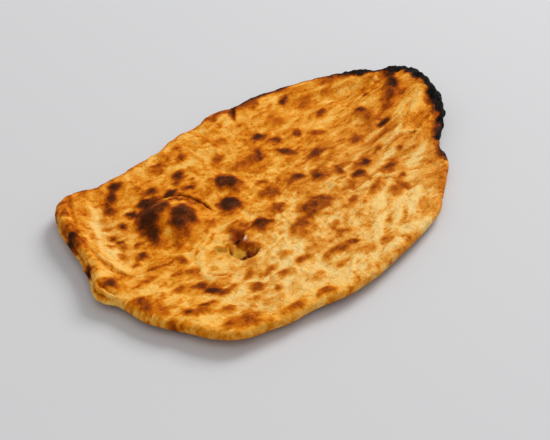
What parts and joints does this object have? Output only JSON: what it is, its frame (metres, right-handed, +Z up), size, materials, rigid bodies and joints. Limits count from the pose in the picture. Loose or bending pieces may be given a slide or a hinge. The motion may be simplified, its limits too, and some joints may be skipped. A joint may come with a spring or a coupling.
{
  "type": "naan bread",
  "caption": "Flat leavened oven bread, teardrop in plan with a folded lip at its blunt end and a burnt, pinched point, lying on its flat underside.",
  "frame": {"origin": "middle of the bread's bounding box in plan, on the flat underside that it rests on", "axes": "+X along the length towards the burnt point, +Y across the bread towards its long straight side, +Z up out of the crust"},
  "size_m": [0.312, 0.194, 0.0174],
  "materials": {
    "crust": "dry baked wheat crust, golden to orange-brown with pale valleys, dark blister spots and a charred point, soft low gloss"
  },
  "bodies": {
    "root": {"naan": "crust"}
  },
  "joints": []
}
